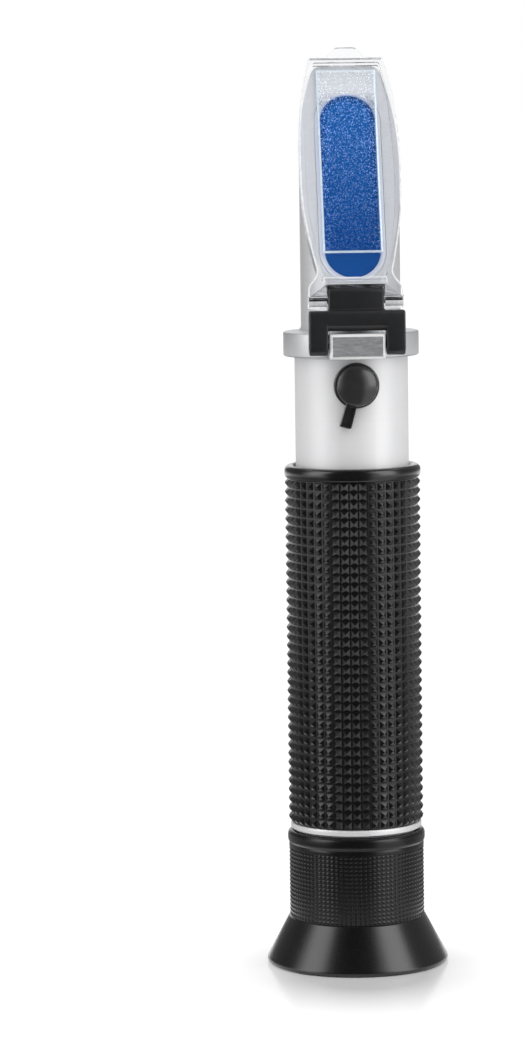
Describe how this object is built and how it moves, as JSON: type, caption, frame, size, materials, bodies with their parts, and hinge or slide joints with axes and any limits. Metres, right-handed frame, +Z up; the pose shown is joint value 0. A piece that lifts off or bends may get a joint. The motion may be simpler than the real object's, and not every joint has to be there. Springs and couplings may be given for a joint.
{
  "type": "handheld refractometer",
  "caption": "Handheld optical refractometer standing on its flared eyecup, with a slanted blue prism under a hinged clear daylight plate, a knurled grip and a capped calibration screw.",
  "frame": {"origin": "middle of the eyecup's rim, which the object stands on", "axes": "+Z up the barrel towards the prism, -Y the front, where the daylight plate and the calibration screw are"},
  "size_m": [0.04, 0.04, 0.2012],
  "materials": {
    "eyecup_rubber": "satin black rubber with a fine knurl round its collar",
    "grip_rubber": "black rubber moulded in square points",
    "cap_rubber": "satin black rubber",
    "turned_aluminium": "bright, finely turned",
    "head_aluminium": "bright satin plating",
    "black_metal": "matt black against stray light",
    "brass": "turned brass",
    "steel": "polished steel",
    "optical_glass": "coated optical glass",
    "blue_prism": "deep blue, polished face",
    "clear_plastic": "clear plastic, frosted on the pad under it",
    "seal": "pale sealing compound",
    "bimetal": "rolled two-metal strip",
    "link_black": "satin black, edges slightly rounded"
  },
  "bodies": {
    "barrel": {"eyepiece_housing": "turned_aluminium", "keeper_ring": "brass", "barrel_tube": "turned_aluminium", "grip_sleeve": "grip_rubber", "reticle_cell": "black_metal", "reticle": "optical_glass", "reticle_retaining_ring": "black_metal", "reticle_set_screw_1": "steel", "reticle_set_screw_2": "steel", "reticle_set_screw_3": "steel", "prism_head": "head_aluminium", "prism": "blue_prism", "prism_seal": "seal", "screw_bush": "brass", "carriage_lock_ring": "black_metal"},
    "eyecup": {"eyecup": "eyecup_rubber", "focus_ring": "turned_aluminium"},
    "lenses": {"lens_barrel": "black_metal", "focus_drive_pin": "steel", "eye_lens": "optical_glass", "lens_spacer": "black_metal", "field_lens": "optical_glass", "lens_retaining_ring": "black_metal"},
    "cap": {"screw_cap": "cap_rubber"},
    "calibration": {"calibration_screw": "brass", "screw_clip": "steel"},
    "carriage": {"adjuster_carriage": "black_metal", "bimetal_strip": "bimetal", "strip_screw_upper": "steel", "strip_screw_lower": "steel", "objective_cell": "black_metal", "objective_lens": "optical_glass", "objective_retaining_ring": "black_metal"},
    "link": {"hinge_link": "link_black", "link_pin": "steel", "plate_pin": "steel"},
    "plate": {"daylight_plate": "clear_plastic"}
  },
  "joints": [
    {"name": "focus_turn", "type": "hinge", "parent": "barrel", "child": "eyecup", "pos_m": [0, 0, 0.02], "axis": [0, 0, 1], "range_deg": [-150, 150]},
    {"name": "lens_travel", "type": "slide", "parent": "barrel", "child": "lenses", "axis": [0, 0, 1], "range_m": [-0.0026, 0.0026]},
    {"name": "cap_pull", "type": "slide", "parent": "barrel", "child": "cap", "axis": [0, -1, 0], "range_m": [0, 0.012]},
    {"name": "calibration_turn", "type": "hinge", "parent": "barrel", "child": "calibration", "pos_m": [0, -0.01, 0.1284], "axis": [0, 1, 0], "range_deg": [-365, 365]},
    {"name": "carriage_shift", "type": "slide", "parent": "barrel", "child": "carriage", "axis": [0, 1, 0], "range_m": [-0.00035, 0.00035]},
    {"name": "link_hinge", "type": "hinge", "parent": "barrel", "child": "link", "pos_m": [0, -0.0155, 0.137], "axis": [1, 0, 0], "range_deg": [0, 70]},
    {"name": "plate_hinge", "type": "hinge", "parent": "link", "child": "plate", "pos_m": [0, -0.0127, 0.1468], "axis": [1, 0, 0], "range_deg": [0, 105]}
  ],
  "couplings": [
    {"joint": "lens_travel", "follows": "focus_turn", "m_per_rad": 0.00095493},
    {"joint": "calibration_turn", "follows": "carriage_shift", "rad_per_m": -17952}
  ]
}
